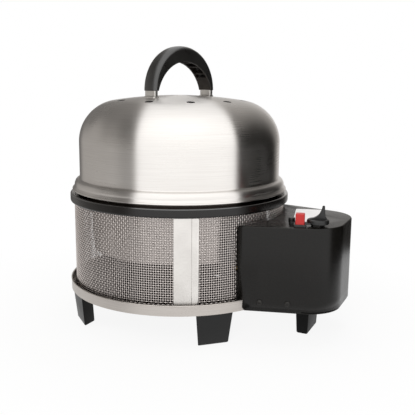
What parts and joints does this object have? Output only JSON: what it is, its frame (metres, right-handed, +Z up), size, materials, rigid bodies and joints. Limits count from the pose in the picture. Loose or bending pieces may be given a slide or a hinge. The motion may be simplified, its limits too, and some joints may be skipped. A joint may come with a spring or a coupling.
{
  "type": "portable gas grill",
  "caption": "Portable round gas grill: domed steel lid with arched handle over a grill plate and bowl in a wire mesh basket on feet, with a side gas box carrying a knob and igniter button.",
  "frame": {"origin": "on the ground under the middle of the whole grill, at the centre of its bounding box", "axes": "+Z up, +X from the basket along the gas box"},
  "size_m": [0.4124, 0.322, 0.3917],
  "materials": {
    "steel": "brushed",
    "mesh_wire": "woven wire, satin",
    "bowl_steel": "satin",
    "burner_steel": "plain",
    "fastener": "zinc plated",
    "dark_fastener": "black oxide",
    "black_plastic": "matt moulded",
    "box_paint": "satin black",
    "plate_coat": "non-stick coated",
    "brass": "plain",
    "ceramic": null,
    "cable": "sleeved",
    "can_paint": "gloss paint",
    "panel_white": "white lacquer",
    "red_plastic": "satin"
  },
  "bodies": {
    "body": {"base_tray": "steel", "base_feet": "black_plastic", "foot_screws": "fastener", "foot_nuts": "fastener", "mesh_basket": "mesh_wire", "seam_plate": "steel", "top_ring": "black_plastic", "burner_shroud": "burner_steel", "burner_stand": "burner_steel", "burner_head": "burner_steel", "burner_cap": "burner_steel", "mixing_tube": "burner_steel", "injector": "brass", "gas_pipe": "brass", "electrode_insulator": "ceramic", "electrode_pin": "fastener", "ignition_lead": "cable", "box_cover": "box_paint", "box_floor": "box_paint", "box_arm": "burner_steel", "arm_rivets": "fastener", "box_foot": "black_plastic", "cover_screws": "dark_fastener", "heat_shield": "burner_steel", "gas_cartridge": "can_paint", "regulator_head": "brass", "feed_pipe": "brass", "tap_body": "brass", "tap_nut": "fastener", "control_plate": "panel_white", "igniter_body": "ceramic", "igniter_collar": "black_plastic"},
    "inner_bowl": {"inner_bowl": "bowl_steel", "bowl_rim": "bowl_steel", "bowl_floor": "bowl_steel", "bowl_cone": "bowl_steel"},
    "grill_plate": {"grill_plate": "plate_coat"},
    "lid": {"lid_dome": "steel", "handle_strap": "black_plastic", "handle_posts": "steel", "handle_screws": "fastener"},
    "knob": {"control_knob": "black_plastic", "tap_spindle": "fastener"},
    "button": {"igniter_button": "red_plastic"}
  },
  "joints": [
    {"name": "bowl_lift", "type": "slide", "parent": "body", "child": "inner_bowl", "axis": [0, 0, 1], "range_m": [0, 0.1]},
    {"name": "plate_lift", "type": "slide", "parent": "inner_bowl", "child": "grill_plate", "axis": [0, 0, 1], "range_m": [0, 0.06]},
    {"name": "lid_lift", "type": "slide", "parent": "grill_plate", "child": "lid", "axis": [0, 0, 1], "range_m": [0, 0.16]},
    {"name": "knob_turn", "type": "hinge", "parent": "body", "child": "knob", "pos_m": [0.17725, -0.0464, 0.16], "axis": [0, 0, 1], "range_deg": [0, 270]},
    {"name": "button_press", "type": "slide", "parent": "body", "child": "button", "axis": [0, 0, -1], "range_m": [0, 0.006], "stiffness_N_per_m": 600, "springref_m": -0.002}
  ]
}
